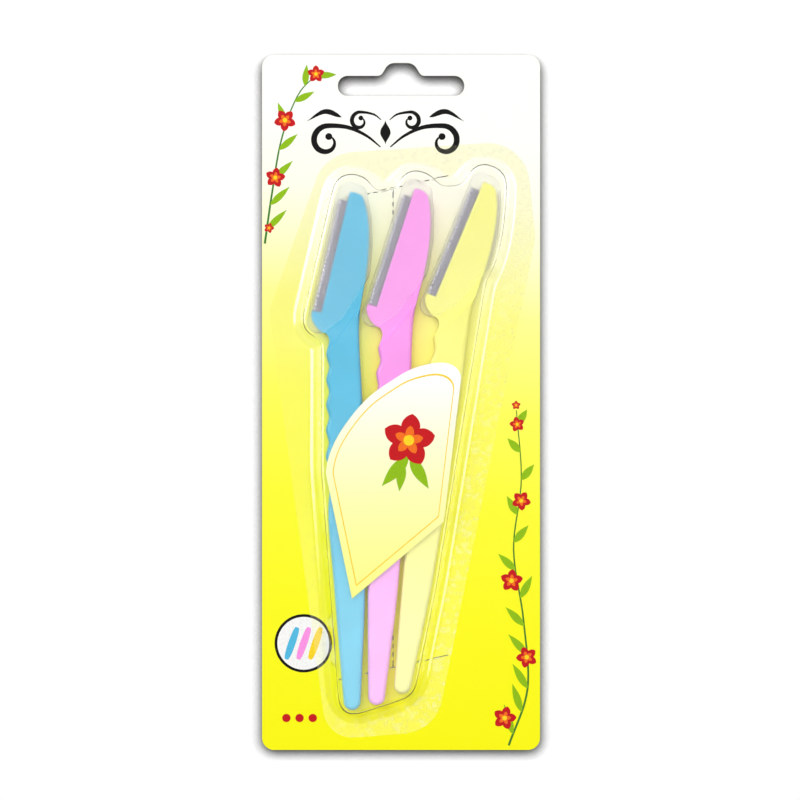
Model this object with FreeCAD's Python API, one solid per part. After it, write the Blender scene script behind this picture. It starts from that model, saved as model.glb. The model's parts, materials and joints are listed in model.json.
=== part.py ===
import FreeCAD
import Part
import math
import os

# Three eyebrow razors sealed on a hang card under a clear blister. Sizes are in millimetres, angles in degrees.
# The pack is drawn lying on its back: x runs across the card, y up it and z out of its printed face.
# The origin is the seat of the peg, at the top of the hang slot, on the card's back face.
# The last step stands the pack up, so that y becomes +Z and the printed face looks along -Y.

# Backing card
card_width = 80.0
card_height = 200.0
card_thick = 0.5
card_corner = 3.5

# Hang slot, a straight slot with a hump that a single peg drops into
peg_below_edge = 2.3
slot_width = 36.4
slot_height = 5.8
slot_corner = 2.8
hump_rise = 3.7
hump_foot_width = 11.6
hump_foot_round = 1.8
hump_top_width = 7.2
hump_top_round = 3.1

# Two tear-open flaps in the card, scored at their outer sides and perforated at the other three
flap_width = 15.8
flap_height = 137.6
flap_slant = 12.7
flap_shift = -2.3
flap_below_peg = 36.2
score_gap = 0.1
slit_width = 0.28
nick_pitch = 2.4
nick_width = 1.1
nick_clear = 0.04
nick_from_score = 3.0

# Handle of a razor: u runs across it and v up it from the tail
handle_length = 113.0
handle_width = 10.0
handle_thick = 4.0
handle_round = 1.1
right_side_shares = ((0.24, 0.021), (0.30, 0.149), (0.35, 0.274), (0.34, 0.442), (0.29, 0.664), (0.23, 0.832))
left_side_shares = ((-0.24, 0.034), (-0.37, 0.243), (-0.49, 0.447), (-0.60, 0.621), (-0.69, 0.866))
neck_back_share = (0.16, 0.956)
grip_waves = 5
grip_pitch = 7.2
grip_depth = 0.8
grip_reach = 7.35
grip_below_lobe = 2.4
ridge_drop = 5.7
ridge_offset = 3.1
ridge_angle = 54.0
ridge_ramp = 0.8

# Head of a razor: p runs in from the cutting edge and q up along it, from the heel
heel_reach = 12.06
blade_lean = 13.05
blade_length = 34.8
head_width = 13.4
head_thick = 2.6
back_shares = ((1.0, 0.101), (0.965, 0.275), (0.935, 0.452), (0.843, 0.683), (0.678, 0.904), (0.496, 1.041))
nose_share = (0.309, 1.06)
lobe_shares = ((0.228, -0.267), (0.40, -0.314))

# Steel blade and the folded comb guard over its edge
blade_reach = 2.7
blade_tang = 3.0
blade_thick = 0.25
blade_bevel = 0.6
heel_land = 1.2
tip_land = 0.6
seat_clear = 0.04
peg_radius = 0.8
peg_shares = (0.25, 0.75)
guard_sheet = 0.12
guard_tuck = 0.6
guard_pitch = 1.25
guard_slot_width = 0.7
guard_slot_depth = 1.5

# Clear cap over the head
cap_gap = 0.3
cap_back_ease = 0.2
cap_wall = 0.6
cap_top_room = 1.9
cap_corner = 3.4
cap_edge_round = 0.5
cap_heel_drop = 1.3
cap_mouth_shares = (0.433, 0.08)
cap_first_back = 2

# The fan of razors: each tail's place from the card's centre line and lower edge, and each razor's lean
razor_names = ("blue", "pink", "yellow")
tail_shifts = (-14.0, -7.2, 0.0)
tail_lifts = (12.0, 13.4, 16.7)
razor_leans = (0.2, 4.75, 9.6)
rest_gap = 0.3

# Blister: a flat flange and one drafted bubble with a lobe over each head
blister_sheet = 0.35
seal_coat = 0.05
roof_gap = 0.3
roof_margin = 1.3
roof_end_room = 2.6
wall_run = 2.7
shoulder_drop = 1.0
shoulder_run = 0.45
flange_reach = 12.0
flange_tail_reach = 8.4
web_radius = 2.5
web_head_drop = 4.0

# Paper label on the roof of the bubble, in from the roof's edges; its rise is taken from the middle razor's tail
label_thick = 0.12
label_inset = 0.9
label_rise = 30.6
label_height = 67.4
label_foot_share = (0.188, 0.0)
label_low_share = (0.833, 0.326)
label_bow_shares = (
    (0.952, 0.927), (0.929, 0.972), (0.879, 0.993), (0.818, 1.0), (0.702, 0.990), (0.594, 0.969),
    (0.471, 0.926), (0.318, 0.860), (0.168, 0.760), (0.050, 0.642), (0.004, 0.531),
)

# Every cut runs past the faces that it opens by this much
overrun = 1.0


def flat(x, y, z=0.0):
    return FreeCAD.Vector(x, y, z)


def prism(wire, height):
    return Part.Face(wire).extrude(flat(0, 0, height))


def turned(point, angle):
    turn = math.radians(angle)
    x = point[0] * math.cos(turn) - point[1] * math.sin(turn)
    y = point[0] * math.sin(turn) + point[1] * math.cos(turn)
    return x, y


# A closed outline of straight runs with a tangent arc at each corner, from (x, y, radius) corners
def rounded_wire(corners, z=0.0):
    runs = []
    count = len(corners)
    for i in range(count):
        x, y, radius = corners[i]
        here = flat(x, y, z)
        to_last = (flat(corners[i - 1][0], corners[i - 1][1], z) - here).normalize()
        to_next = (flat(corners[(i + 1) % count][0], corners[(i + 1) % count][1], z) - here).normalize()
        half = to_last.getAngle(to_next) / 2
        middle = (to_last + to_next).normalize()
        reach = radius / math.tan(half)
        depth = radius / math.sin(half) - radius
        runs.append((here + to_last * reach, here + middle * depth, here + to_next * reach))
    edges = []
    for i in range(count):
        start, middle, end = runs[i]
        edges.append(Part.Arc(start, middle, end).toShape())
        edges.append(Part.LineSegment(end, runs[(i + 1) % count][0]).toShape())
    return Part.Wire(edges)


# The direction, square to a band laid round two circles, that points out of it on the right of the way from a to b
def band_normal(a, b):
    across = flat(b[0] - a[0], b[1] - a[1])
    along = flat(across.x, across.y).normalize()
    right = flat(along.y, -along.x)
    lean = math.asin((a[2] - b[2]) / across.Length)
    return right * math.cos(lean) + along * math.sin(lean)


# A band drawn tight round (x, y, radius) circles listed anticlockwise; a circle that it doesn't touch is left out
def band_wire(circles, z=0.0):
    kept = list(circles)
    i = 0
    checked = 0
    while checked < len(kept):
        into = band_normal(kept[i - 1], kept[i])
        out = band_normal(kept[i], kept[(i + 1) % len(kept)])
        if into.cross(out).z <= 0:
            del kept[i]
            checked = 0
            i = i % len(kept)
        else:
            checked += 1
            i = (i + 1) % len(kept)
    touches = []
    for i, (x, y, radius) in enumerate(kept):
        into = band_normal(kept[i - 1], kept[i])
        out = band_normal(kept[i], kept[(i + 1) % len(kept)])
        middle = (into + out).normalize()
        centre = flat(x, y, z)
        touches.append((centre + into * radius, centre + middle * radius, centre + out * radius))
    edges = []
    for i, (start, middle, end) in enumerate(touches):
        edges.append(Part.Arc(start, middle, end).toShape())
        edges.append(Part.LineSegment(end, touches[(i + 1) % len(touches)][0]).toShape())
    return Part.Wire(edges)


def grown(circles, amount):
    return [(x, y, radius + amount) for x, y, radius in circles]


# Card and flaps

card_top = peg_below_edge
card_foot = card_top - card_height


def card_outline():
    half = card_width / 2
    return rounded_wire([
        (-half, card_foot, card_corner),
        (half, card_foot, card_corner),
        (half, card_top, card_corner),
        (-half, card_top, card_corner),
    ])


def slot_outline():
    half = slot_width / 2
    foot = hump_foot_width / 2
    top = hump_top_width / 2
    upper = -hump_rise
    lower = upper - slot_height
    return rounded_wire([
        (-half, lower, slot_corner),
        (half, lower, slot_corner),
        (half, upper, slot_corner),
        (foot, upper, hump_foot_round),
        (top, 0, hump_top_round),
        (-top, 0, hump_top_round),
        (-foot, upper, hump_foot_round),
        (-half, upper, slot_corner),
    ])


# Height of the flaps' slanted upper or lower cut at x, moved along the cut's own normal by a gap
def cut_height(x, upper, gap):
    slope = math.tan(math.radians(flap_slant))
    middle = -flap_below_peg if upper else -flap_below_peg - flap_height
    return middle + (x - flap_shift) * slope + gap / math.cos(math.radians(flap_slant))


def slanted_panel(left, right, gap):
    corners = [
        flat(left, cut_height(left, False, -gap)),
        flat(right, cut_height(right, False, -gap)),
        flat(right, cut_height(right, True, gap)),
        flat(left, cut_height(left, True, gap)),
    ]
    return prism(Part.makePolygon(corners + corners[:1]), card_thick)


def backing_card():
    door = slanted_panel(
        flap_shift - flap_width - score_gap,
        flap_shift + flap_width + score_gap,
        slit_width,
    )
    slot = prism(slot_outline(), card_thick)
    return prism(card_outline(), card_thick).cut(Part.makeCompound([door, slot]))


# A nick is the uncut bit of a perforation: it stands on the flap's edge and all but reaches the other side of the slit
def nick(x, y, angle):
    tip = slit_width - nick_clear
    box = Part.makeBox(nick_width, tip, card_thick)
    box.translate(flat(-nick_width / 2, 0))
    box.rotate(flat(0, 0), flat(0, 0, 1), angle)
    box.translate(flat(x, y))
    return box


def flap(side):
    middle = flap_shift + side * slit_width / 2
    outer = flap_shift + side * flap_width
    panel = slanted_panel(min(middle, outer), max(middle, outer), 0)
    nicks = []
    clear_width = flap_width - nick_from_score
    for i in range(int(clear_width / nick_pitch)):
        x = middle + side * (i + 0.5) * nick_pitch
        nicks.append(nick(x, cut_height(x, True, 0), flap_slant))
        nicks.append(nick(x, cut_height(x, False, 0), flap_slant + 180))
    if side < 0:
        for i in range(int(flap_height / nick_pitch) - 1):
            y = cut_height(middle, False, 0) + (i + 1) * nick_pitch
            nicks.append(nick(middle, y, -90))
    return panel.multiFuse(nicks).removeSplitter()


# Razor, drawn with its tail at the origin and its middle plane at z = 0

heel = (-heel_reach, handle_length)


def from_blade_frame(p, q):
    x, y = turned((p, q), -blade_lean)
    return heel[0] + x, heel[1] + y


def into_razor(shape):
    shape.rotate(flat(0, 0), flat(0, 0, 1), -blade_lean)
    shape.translate(flat(heel[0], heel[1]))
    return shape


def head_point(share):
    return share[0] * head_width, share[1] * blade_length


def handle_point(share):
    return share[0] * handle_width, share[1] * handle_length


def smooth_run(points):
    curve = Part.BSplineCurve()
    curve.interpolate([flat(x, y) for x, y in points])
    return curve.toShape()


# The lobe under the heel is as deep as the head is wide, so both its shares are of that width
def lobe_point(share):
    return from_blade_frame(share[0] * head_width, share[1] * head_width)


# The finger waves run down the left side from just under the lobe
def grip_points():
    points = []
    top = lobe_point(lobe_shares[-1])[1] - grip_below_lobe
    for i in range(2 * grip_waves + 1):
        swing = grip_depth / 2 if i % 2 == 0 else -grip_depth / 2
        points.append((-grip_reach + swing, top - i * grip_pitch / 2))
    return points


def razor_outline():
    tail = flat(0, 0)
    right = [handle_point(share) for share in right_side_shares]
    right.append(handle_point(neck_back_share))
    right += [from_blade_frame(*head_point(share)) for share in back_shares]
    nose = from_blade_frame(*head_point(nose_share))
    edge_top = from_blade_frame(0, blade_length)
    lobe, lobe_end = [lobe_point(share) for share in lobe_shares]
    grip_foot = grip_points()[-1][1]
    left = [(share[0] * handle_width, share[1] * grip_foot) for share in left_side_shares]
    left_run = [lobe_end] + grip_points() + left[::-1]
    return Part.Wire([
        Part.Arc(flat(*left[0]), tail, flat(*right[0])).toShape(),
        smooth_run(right),
        Part.Arc(flat(*right[-1]), flat(*nose), flat(*edge_top)).toShape(),
        Part.LineSegment(flat(*edge_top), flat(*heel)).toShape(),
        Part.Arc(flat(*heel), flat(*lobe), flat(*lobe_end)).toShape(),
        smooth_run(left_run),
    ])


# What comes off one face of the handle to thin it to the head, with a ramp along the slanted ridge
def head_thinning():
    head_half = head_thick / 2
    top = handle_thick / 2 + overrun
    back = ridge_ramp * overrun / (handle_thick / 2 - head_half)
    span = head_width + blade_length
    section = [
        flat(0, -back, top),
        flat(0, ridge_ramp, head_half),
        flat(0, span, head_half),
        flat(0, span, top),
    ]
    block = Part.Face(Part.makePolygon(section + section[:1])).extrude(flat(2 * span, 0))
    block.translate(flat(-span, 0))
    block.rotate(flat(0, 0), flat(0, 0, 1), ridge_angle)
    block.translate(flat(-ridge_offset, handle_length - ridge_drop))
    return block


# The seat that the blade and its guard slide into, open along the plastic edge, with two pegs left standing in it
seat_half = blade_thick / 2 + guard_sheet + 2 * seat_clear
seat_top = blade_length - tip_land


def blade_seat():
    notch = Part.makeBox(blade_reach + overrun, seat_top - heel_land + head_width, handle_thick)
    notch.translate(flat(-overrun, heel_land, -handle_thick / 2))
    seat = Part.makeBox(blade_tang + seat_clear + overrun, seat_top - heel_land, 2 * seat_half)
    seat.translate(flat(blade_reach - overrun, heel_land, -seat_half))
    pegs = [Part.makeCylinder(peg_radius, 2 * seat_half, flat(x, y, -seat_half)) for x, y in peg_places()]
    return into_razor(notch.fuse(seat.cut(Part.makeCompound(pegs))))


def peg_places():
    return [(blade_reach + blade_tang / 2, share * blade_length) for share in peg_shares]


def handle():
    body = prism(razor_outline(), handle_thick)
    body.translate(flat(0, 0, -handle_thick / 2))
    sides = [edge for edge in body.Edges if isinstance(edge.Curve, Part.BSplineCurve)]
    body = body.makeFillet(handle_round, sides)
    front = head_thinning()
    back = front.mirror(flat(0, 0), flat(0, 0, 1))
    return body.cut(Part.makeCompound([front, back])).cut(blade_seat())


# Blade: a flat strip with its edge ground from both faces and a hole over each peg
blade_start = heel_land + seat_clear
blade_run = seat_top - heel_land - 2 * seat_clear
edge_inset = guard_sheet + seat_clear


def blade():
    half = blade_thick / 2
    ground = edge_inset + blade_bevel
    inner = blade_reach + blade_tang
    section = [
        flat(edge_inset, 0, 0),
        flat(ground, 0, -half),
        flat(inner, 0, -half),
        flat(inner, 0, half),
        flat(ground, 0, half),
    ]
    strip = Part.Face(Part.makePolygon(section + section[:1])).extrude(flat(0, blade_run))
    strip.translate(flat(0, blade_start))
    holes = [
        Part.makeCylinder(peg_radius + seat_clear, blade_thick + 2 * overrun, flat(x, y, -half - overrun))
        for x, y in peg_places()
    ]
    return into_razor(strip.cut(Part.makeCompound(holes)))


# Guard: a strip of sheet folded over the edge, slotted across the fold so that it combs
def guard():
    inner_half = blade_thick / 2 + seat_clear
    outer_half = inner_half + guard_sheet
    depth = blade_reach + guard_tuck
    fold = Part.makeBox(depth, blade_run, 2 * outer_half)
    fold.translate(flat(0, blade_start, -outer_half))
    hollow = Part.makeBox(depth, blade_run + 2 * overrun, 2 * inner_half)
    hollow.translate(flat(guard_sheet, blade_start - overrun, -inner_half))
    count = int(blade_run / guard_pitch)
    first = blade_start + (blade_run - (count - 1) * guard_pitch) / 2
    radius = guard_slot_width / 2
    slots = []
    for i in range(count):
        y = first + i * guard_pitch
        slot = Part.makeBox(overrun + guard_slot_depth - radius, guard_slot_width, 2 * outer_half)
        slot.translate(flat(-overrun, y - radius, -outer_half))
        slots.append(slot)
        slots.append(Part.makeCylinder(radius, 2 * outer_half, flat(guard_slot_depth - radius, y, -outer_half)))
    return into_razor(fold.cut(hollow).cut(slots[0].multiFuse(slots[1:])))


# Cap: a sleeve open at its mouth, whose outline is a band round circles set inside the head's outline
cap_offset = cap_gap + cap_wall
cap_thick = head_thick + 2 * cap_offset
cap_top = nose_share[1] * blade_length + cap_top_room + cap_wall


def cap_circles():
    inset = cap_corner - cap_offset
    back_inset = inset - cap_back_ease
    back = [head_point(share) for share in back_shares]
    circles = [(inset, -cap_heel_drop, cap_corner)]
    mouth = head_point(cap_mouth_shares)
    circles.append((mouth[0], mouth[1], cap_corner))
    for i in range(cap_first_back, len(back)):
        last = back[i - 1]
        after = back[min(i + 1, len(back) - 1)]
        along = flat(after[0] - last[0], after[1] - last[1]).normalize()
        circles.append((back[i][0] - along.y * back_inset, back[i][1] + along.x * back_inset, cap_corner))
    circles.append((circles[-1][0], cap_top - cap_corner, cap_corner))
    circles.append((inset, cap_top - cap_corner, cap_corner))
    return circles


def cap():
    outer = prism(band_wire(cap_circles()), cap_thick)
    middle = cap_thick / 2
    rims = [edge for edge in outer.Edges if abs(edge.CenterOfMass.z - middle) > middle - cap_wall / 2]
    outer = outer.makeFillet(cap_edge_round, rims)
    inner = grown(cap_circles(), -cap_wall)
    heel_circle = inner[0]
    back_circle = inner[cap_first_back]
    below = [(x, y - blade_length, radius) for x, y, radius in (heel_circle, back_circle)]
    hollow = prism(band_wire(below + inner[cap_first_back:]), cap_thick - 2 * cap_wall)
    hollow.translate(flat(0, 0, cap_wall))
    sleeve = outer.cut(hollow)
    sleeve.translate(flat(0, 0, -cap_thick / 2))
    return into_razor(sleeve)


# Places of the razors on the card

razor_level = card_thick + rest_gap + cap_thick / 2
tails = [(shift, card_foot + lift) for shift, lift in zip(tail_shifts, tail_lifts)]


def on_card(razor, u, v):
    x, y = turned((u, v), -razor_leans[razor])
    return tails[razor][0] + x, tails[razor][1] + y


def onto_card(razor, shape):
    shape.rotate(flat(0, 0), flat(0, 0, 1), -razor_leans[razor])
    shape.translate(flat(tails[razor][0], tails[razor][1], razor_level))
    return shape


# Blister

roof_level = razor_level + cap_thick / 2 + roof_gap + blister_sheet
flange_level = card_thick + seal_coat


def lobe_circles(razor):
    circles = []
    top = max(y for x, y, radius in cap_circles())
    for x, y, radius in cap_circles():
        lift = roof_end_room - roof_margin if y == top else 0
        u, v = from_blade_frame(x, y + lift)
        circles.append((*on_card(razor, u, v), radius + roof_margin))
    return circles


# The web under the lobes runs from the tails to the heads and fills the valleys between them
def web_circles():
    radius = web_radius + roof_margin
    last = len(razor_names) - 1
    widest_right = max(right_side_shares)
    crown = handle_point(widest_right)
    nose = from_blade_frame(*head_point(nose_share))
    head = nose[1] - web_head_drop
    grip_foot = grip_points()[-1]
    grip_top = grip_points()[0]
    places = [
        on_card(0, 0, web_radius),
        on_card(last, 0, web_radius),
        on_card(last, crown[0] - web_radius, crown[1]),
        on_card(last, nose[0], head),
        on_card(0, nose[0], head),
        on_card(0, web_radius - grip_reach - grip_depth / 2, grip_top[1]),
        on_card(0, web_radius - grip_reach - grip_depth / 2, grip_foot[1]),
    ]
    return [(x, y, radius) for x, y in places]


# A drafted pod through (level, growth) sections of the same circles
def pod(circles, sections):
    wires = [band_wire(grown(circles, growth), level) for level, growth in sections]
    return Part.makeLoft(wires, True, True)


def blister_shell():
    outer_sections = [
        (flange_level, wall_run),
        (roof_level - shoulder_drop, shoulder_run),
        (roof_level, 0),
    ]
    slope = (wall_run - shoulder_run) / (roof_level - shoulder_drop - flange_level)
    inner_sections = [
        (flange_level - overrun, wall_run + slope * overrun - blister_sheet),
        (roof_level - shoulder_drop - blister_sheet / 2, shoulder_run - blister_sheet),
        (roof_level - blister_sheet, -blister_sheet),
    ]
    groups = [lobe_circles(i) for i in range(len(razor_names))] + [web_circles()]
    bubble = [pod(circles, outer_sections) for circles in groups]
    hollow = [pod(circles, inner_sections) for circles in groups]
    last = len(razor_names) - 1
    bulge = from_blade_frame(*head_point(back_shares[3]))
    nose = from_blade_frame(*head_point(nose_share))
    flange_places = (
        (0, 0, 0, flange_tail_reach),
        (last, 0, 0, flange_reach),
        (last, bulge[0], bulge[1], flange_reach),
        (last, nose[0], nose[1], flange_reach),
        (0, nose[0], nose[1], flange_reach),
        (0, heel[0], heel[1], flange_reach),
    )
    flange_circles = [(*on_card(razor, u, v), reach) for razor, u, v, reach in flange_places]
    flange = prism(band_wire(flange_circles, flange_level), blister_sheet)
    return flange.multiFuse(bubble).cut(hollow[0].multiFuse(hollow[1:])).removeSplitter()


# Label: a fan with one bowed side, stuck on the flat roof
def label_sticker():
    last = len(razor_names) - 1
    margin = roof_margin - label_inset
    right_side = handle_point((right_side_shares[-1][0], 0))[0]
    left = on_card(0, -grip_reach - margin, label_rise)[0]
    right = on_card(last, right_side + margin, label_rise + label_height)[0]
    base = tails[last // 2][1] + label_rise
    foot, low_corner, *bow = [
        (left + across * (right - left), base + up * label_height)
        for across, up in (label_foot_share, label_low_share, *label_bow_shares)
    ]
    outline = Part.Wire([
        Part.LineSegment(flat(*foot), flat(*low_corner)).toShape(),
        Part.LineSegment(flat(*low_corner), flat(*bow[0])).toShape(),
        smooth_run(bow),
        Part.LineSegment(flat(*bow[-1]), flat(*foot)).toShape(),
    ])
    label = prism(outline, label_thick)
    label.translate(flat(0, 0, roof_level))
    return label


nodes = {
    "backing_card": backing_card(),
    "left_flap": flap(-1),
    "right_flap": flap(1),
    "blister_shell": blister_shell(),
    "label_sticker": label_sticker(),
}
for i, name in enumerate(razor_names):
    nodes[name + "_handle"] = onto_card(i, handle())
    nodes[name + "_blade"] = onto_card(i, blade())
    nodes[name + "_guard"] = onto_card(i, guard())
    nodes[name + "_cap"] = onto_card(i, cap())

os.makedirs("parts", exist_ok=True)
for name, shape in nodes.items():
    shape.rotate(flat(0, 0), flat(1, 0), 90)
    print(name, "valid" if shape.isValid() else "not valid", len(shape.Solids), round(shape.Volume, 2))
    shape.exportStep("parts/" + name + ".step")
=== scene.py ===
import bmesh
import bpy
import json
import math
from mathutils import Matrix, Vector
from mathutils.geometry import tessellate_polygon


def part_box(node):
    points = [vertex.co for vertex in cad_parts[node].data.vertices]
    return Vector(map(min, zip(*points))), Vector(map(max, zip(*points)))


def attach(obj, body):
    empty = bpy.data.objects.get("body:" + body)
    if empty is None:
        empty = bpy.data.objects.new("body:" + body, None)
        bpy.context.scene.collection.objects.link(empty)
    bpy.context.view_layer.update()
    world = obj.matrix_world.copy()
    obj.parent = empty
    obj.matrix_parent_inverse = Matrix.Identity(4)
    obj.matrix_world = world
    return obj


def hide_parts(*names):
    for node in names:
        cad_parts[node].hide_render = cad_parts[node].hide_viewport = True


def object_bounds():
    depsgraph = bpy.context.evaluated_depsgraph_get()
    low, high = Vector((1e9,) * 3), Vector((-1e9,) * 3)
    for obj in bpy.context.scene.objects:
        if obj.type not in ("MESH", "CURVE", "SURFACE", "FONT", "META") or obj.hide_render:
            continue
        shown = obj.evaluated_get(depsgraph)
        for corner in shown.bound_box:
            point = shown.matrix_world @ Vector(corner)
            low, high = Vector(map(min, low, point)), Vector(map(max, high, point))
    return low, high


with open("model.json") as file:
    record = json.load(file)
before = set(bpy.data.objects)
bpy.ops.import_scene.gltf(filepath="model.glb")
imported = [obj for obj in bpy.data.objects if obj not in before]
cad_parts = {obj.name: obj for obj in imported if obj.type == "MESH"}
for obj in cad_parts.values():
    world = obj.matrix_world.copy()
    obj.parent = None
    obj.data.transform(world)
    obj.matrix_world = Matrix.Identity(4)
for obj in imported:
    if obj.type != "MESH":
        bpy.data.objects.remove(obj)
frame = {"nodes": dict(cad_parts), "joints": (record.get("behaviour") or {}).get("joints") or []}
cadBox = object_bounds()
nodes = frame["nodes"]
mm = 0.001  # metres; outlines, profiles and print are drawn in millimetres and multiplied by this
razorNames = ("blue", "pink", "yellow")
noiseSpan = {"From Min": 0.3, "From Max": 0.7}  # most of a noise lies in this span
print("frame loaded:", len(nodes), "nodes")


# sRGB hex to the linear colour that sockets take
def linear(hexColour):
    parts = [int(hexColour[i:i + 2], 16) / 255 for i in (1, 3, 5)]
    return [c / 12.92 if c <= 0.04045 else ((c + 0.055) / 1.055) ** 2.4 for c in parts] + [1.0]


# Adds a node: settings are input values or properties, links are the sources of its inputs
def addNode(tree, kind, settings=None, links=None):
    node = tree.nodes.new(kind)
    for key, value in (settings or {}).items():
        if key == "stops":
            stops = node.color_ramp.elements
            for i, (place, colour) in enumerate(value):
                stop = stops[i] if i < 2 else stops.new(place)
                stop.position = place
                stop.color = linear(colour)
        elif isinstance(key, int) or key in node.inputs:
            node.inputs[key].default_value = value
        else:
            setattr(node, key, value)
    for key, source in (links or {}).items():
        tree.links.new(source, node.inputs[key])
    return node


def newMaterial(name):
    material = bpy.data.materials.new(name)
    material.use_nodes = True
    material.node_tree.nodes.clear()
    return material, material.node_tree


def dress(piece, material):
    piece.data.materials.clear()
    piece.data.materials.append(material)


# Fine skin of a surface: one noise of a real size varies its roughness and gives it a faint relief
def surfaceSkin(tree, vector, skin):
    grain = addNode(tree, "ShaderNodeTexNoise", {"Scale": 1 / skin["size"], "Detail": skin["detail"]},
                    {"Vector": vector})
    smooth, dull = skin["rough"]
    rough = addNode(tree, "ShaderNodeMapRange", {"To Min": smooth, "To Max": dull},
                    {"Value": grain.outputs["Fac"]})
    bump = addNode(tree, "ShaderNodeBump", {"Strength": skin["strength"], "Distance": skin["depth"]},
                   {"Height": grain.outputs["Fac"]})
    return grain.outputs["Fac"], {"Roughness": rough.outputs["Result"], "Normal": bump.outputs[0]}


# Boxboard of the card and its flaps

board = {
    "stops": (
        (0.0, "#FAF606"), (0.2, "#FBF81A"), (0.36, "#FBF934"), (0.5, "#FCFA58"),
        (0.64, "#FDFB92"), (0.73, "#FDFCCC"), (0.8, "#FDFCE8"), (0.9, "#FDFDF6"),
    ),
    "lean": 0.12,            # the tint is a little paler on the right
    "facing": 0.5,           # with less of Y than this in its normal, a face is an edge
    "raw": "#E4E1DA",
    "back": "#EBE9E4",
    "fibreSize": 1.6 * mm,
    "fleck": (0.9, 1.02),    # darkest and palest fibre
    "toothSize": 0.7 * mm,   # paper tooth is finer, drawn this coarse so that it shows
    "toothDepth": 0.03 * mm,
    "toothStrength": 0.12,
    "rough": (0.74, 0.36),   # dull back and edges, satin face
    "roughDrift": 0.08,
    "shine": 0.2,
}


# Clay-coated boxboard, offset printed and varnished: a satin face with faint tooth, a dull fibrous back
def printedBoxboard():
    material, tree = newMaterial("printedBoxboard")
    place = addNode(tree, "ShaderNodeTexCoord")
    spot = addNode(tree, "ShaderNodeSeparateXYZ", links={0: place.outputs["Object"]})
    facing = addNode(tree, "ShaderNodeSeparateXYZ", links={0: place.outputs["Normal"]})
    isFront = addNode(tree, "ShaderNodeMath", {"operation": "LESS_THAN", 1: -board["facing"]},
                      {0: facing.outputs["Y"]})
    isBack = addNode(tree, "ShaderNodeMath", {"operation": "GREATER_THAN", 1: board["facing"]},
                     {0: facing.outputs["Y"]})
    rise = addNode(tree, "ShaderNodeMath", {"operation": "MULTIPLY_ADD", 1: board["lean"]},
                   {0: spot.outputs["X"], 2: spot.outputs["Z"]})
    share = addNode(tree, "ShaderNodeMapRange", {"From Min": cadBox[0].z, "From Max": cadBox[1].z},
                    {"Value": rise.outputs[0]})
    tint = addNode(tree, "ShaderNodeValToRGB", {"stops": board["stops"]}, {"Fac": share.outputs["Result"]})
    fibre = addNode(tree, "ShaderNodeTexNoise", {
        "Scale": 1 / board["fibreSize"], "Detail": 6.0, "Roughness": 0.7},
        {"Vector": place.outputs["Object"]})
    dark, pale = board["fleck"]
    fleck = addNode(tree, "ShaderNodeMapRange", {**noiseSpan, "To Min": dark, "To Max": pale},
                    {"Value": fibre.outputs["Fac"]})
    plain = addNode(tree, "ShaderNodeMix", {
        "data_type": "RGBA", 6: linear(board["raw"]), 7: linear(board["back"])}, {0: isBack.outputs[0]})
    flecked = addNode(tree, "ShaderNodeMix", {"data_type": "RGBA", "blend_type": "MULTIPLY", 0: 1.0},
                      {6: plain.outputs[2], 7: fleck.outputs["Result"]})
    colour = addNode(tree, "ShaderNodeMix", {"data_type": "RGBA"},
                     {0: isFront.outputs[0], 6: flecked.outputs[2], 7: tint.outputs["Color"]})
    tooth = addNode(tree, "ShaderNodeTexNoise", {"Scale": 1 / board["toothSize"], "Detail": 3.0},
                    {"Vector": place.outputs["Object"]})
    dull, satin = board["rough"]
    gloss = addNode(tree, "ShaderNodeMapRange", {"To Min": dull, "To Max": satin},
                    {"Value": isFront.outputs[0]})
    rough = addNode(tree, "ShaderNodeMath", {"operation": "MULTIPLY_ADD", 1: board["roughDrift"]},
                    {0: tooth.outputs["Fac"], 2: gloss.outputs["Result"]})
    bump = addNode(tree, "ShaderNodeBump", {
        "Strength": board["toothStrength"], "Distance": board["toothDepth"]},
        {"Height": tooth.outputs["Fac"]})
    shader = addNode(tree, "ShaderNodeBsdfPrincipled", {"IOR": 1.5, "Specular IOR Level": board["shine"]}, {
        "Base Color": colour.outputs[2], "Roughness": rough.outputs[0], "Normal": bump.outputs[0]})
    addNode(tree, "ShaderNodeOutputMaterial", links={0: shader.outputs[0]})
    return material


boxboard = printedBoxboard()
for name in ("backing_card", "left_flap", "right_flap"):
    dress(nodes[name], boxboard)
print("card dressed")


# Moulded handles

polystyrene = {
    "colours": {"blue": "#3CB9E0", "pink": "#FC91EE", "yellow": "#FDFA7A"},
    # painted light: each tail colour is paler, standing in for light that comes through the thin plastic
    "tails": {"blue": "#6CCEEE", "pink": "#FDBAFA", "yellow": "#FEFDA4"},  # the thin tail lets light through
    "paintedLitTailFrom": (-105 * mm, -160 * mm),
    "flowSize": 9 * mm,      # drift of the pigment along the mould's flow
    "flow": (0.95, 1.03),
    "skin": {                # moulded skin, drawn coarser than it is so that it shows
        "size": 0.5 * mm, "detail": 3.0, "rough": (0.26, 0.38), "strength": 0.08, "depth": 0.02 * mm,
    },
}
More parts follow.
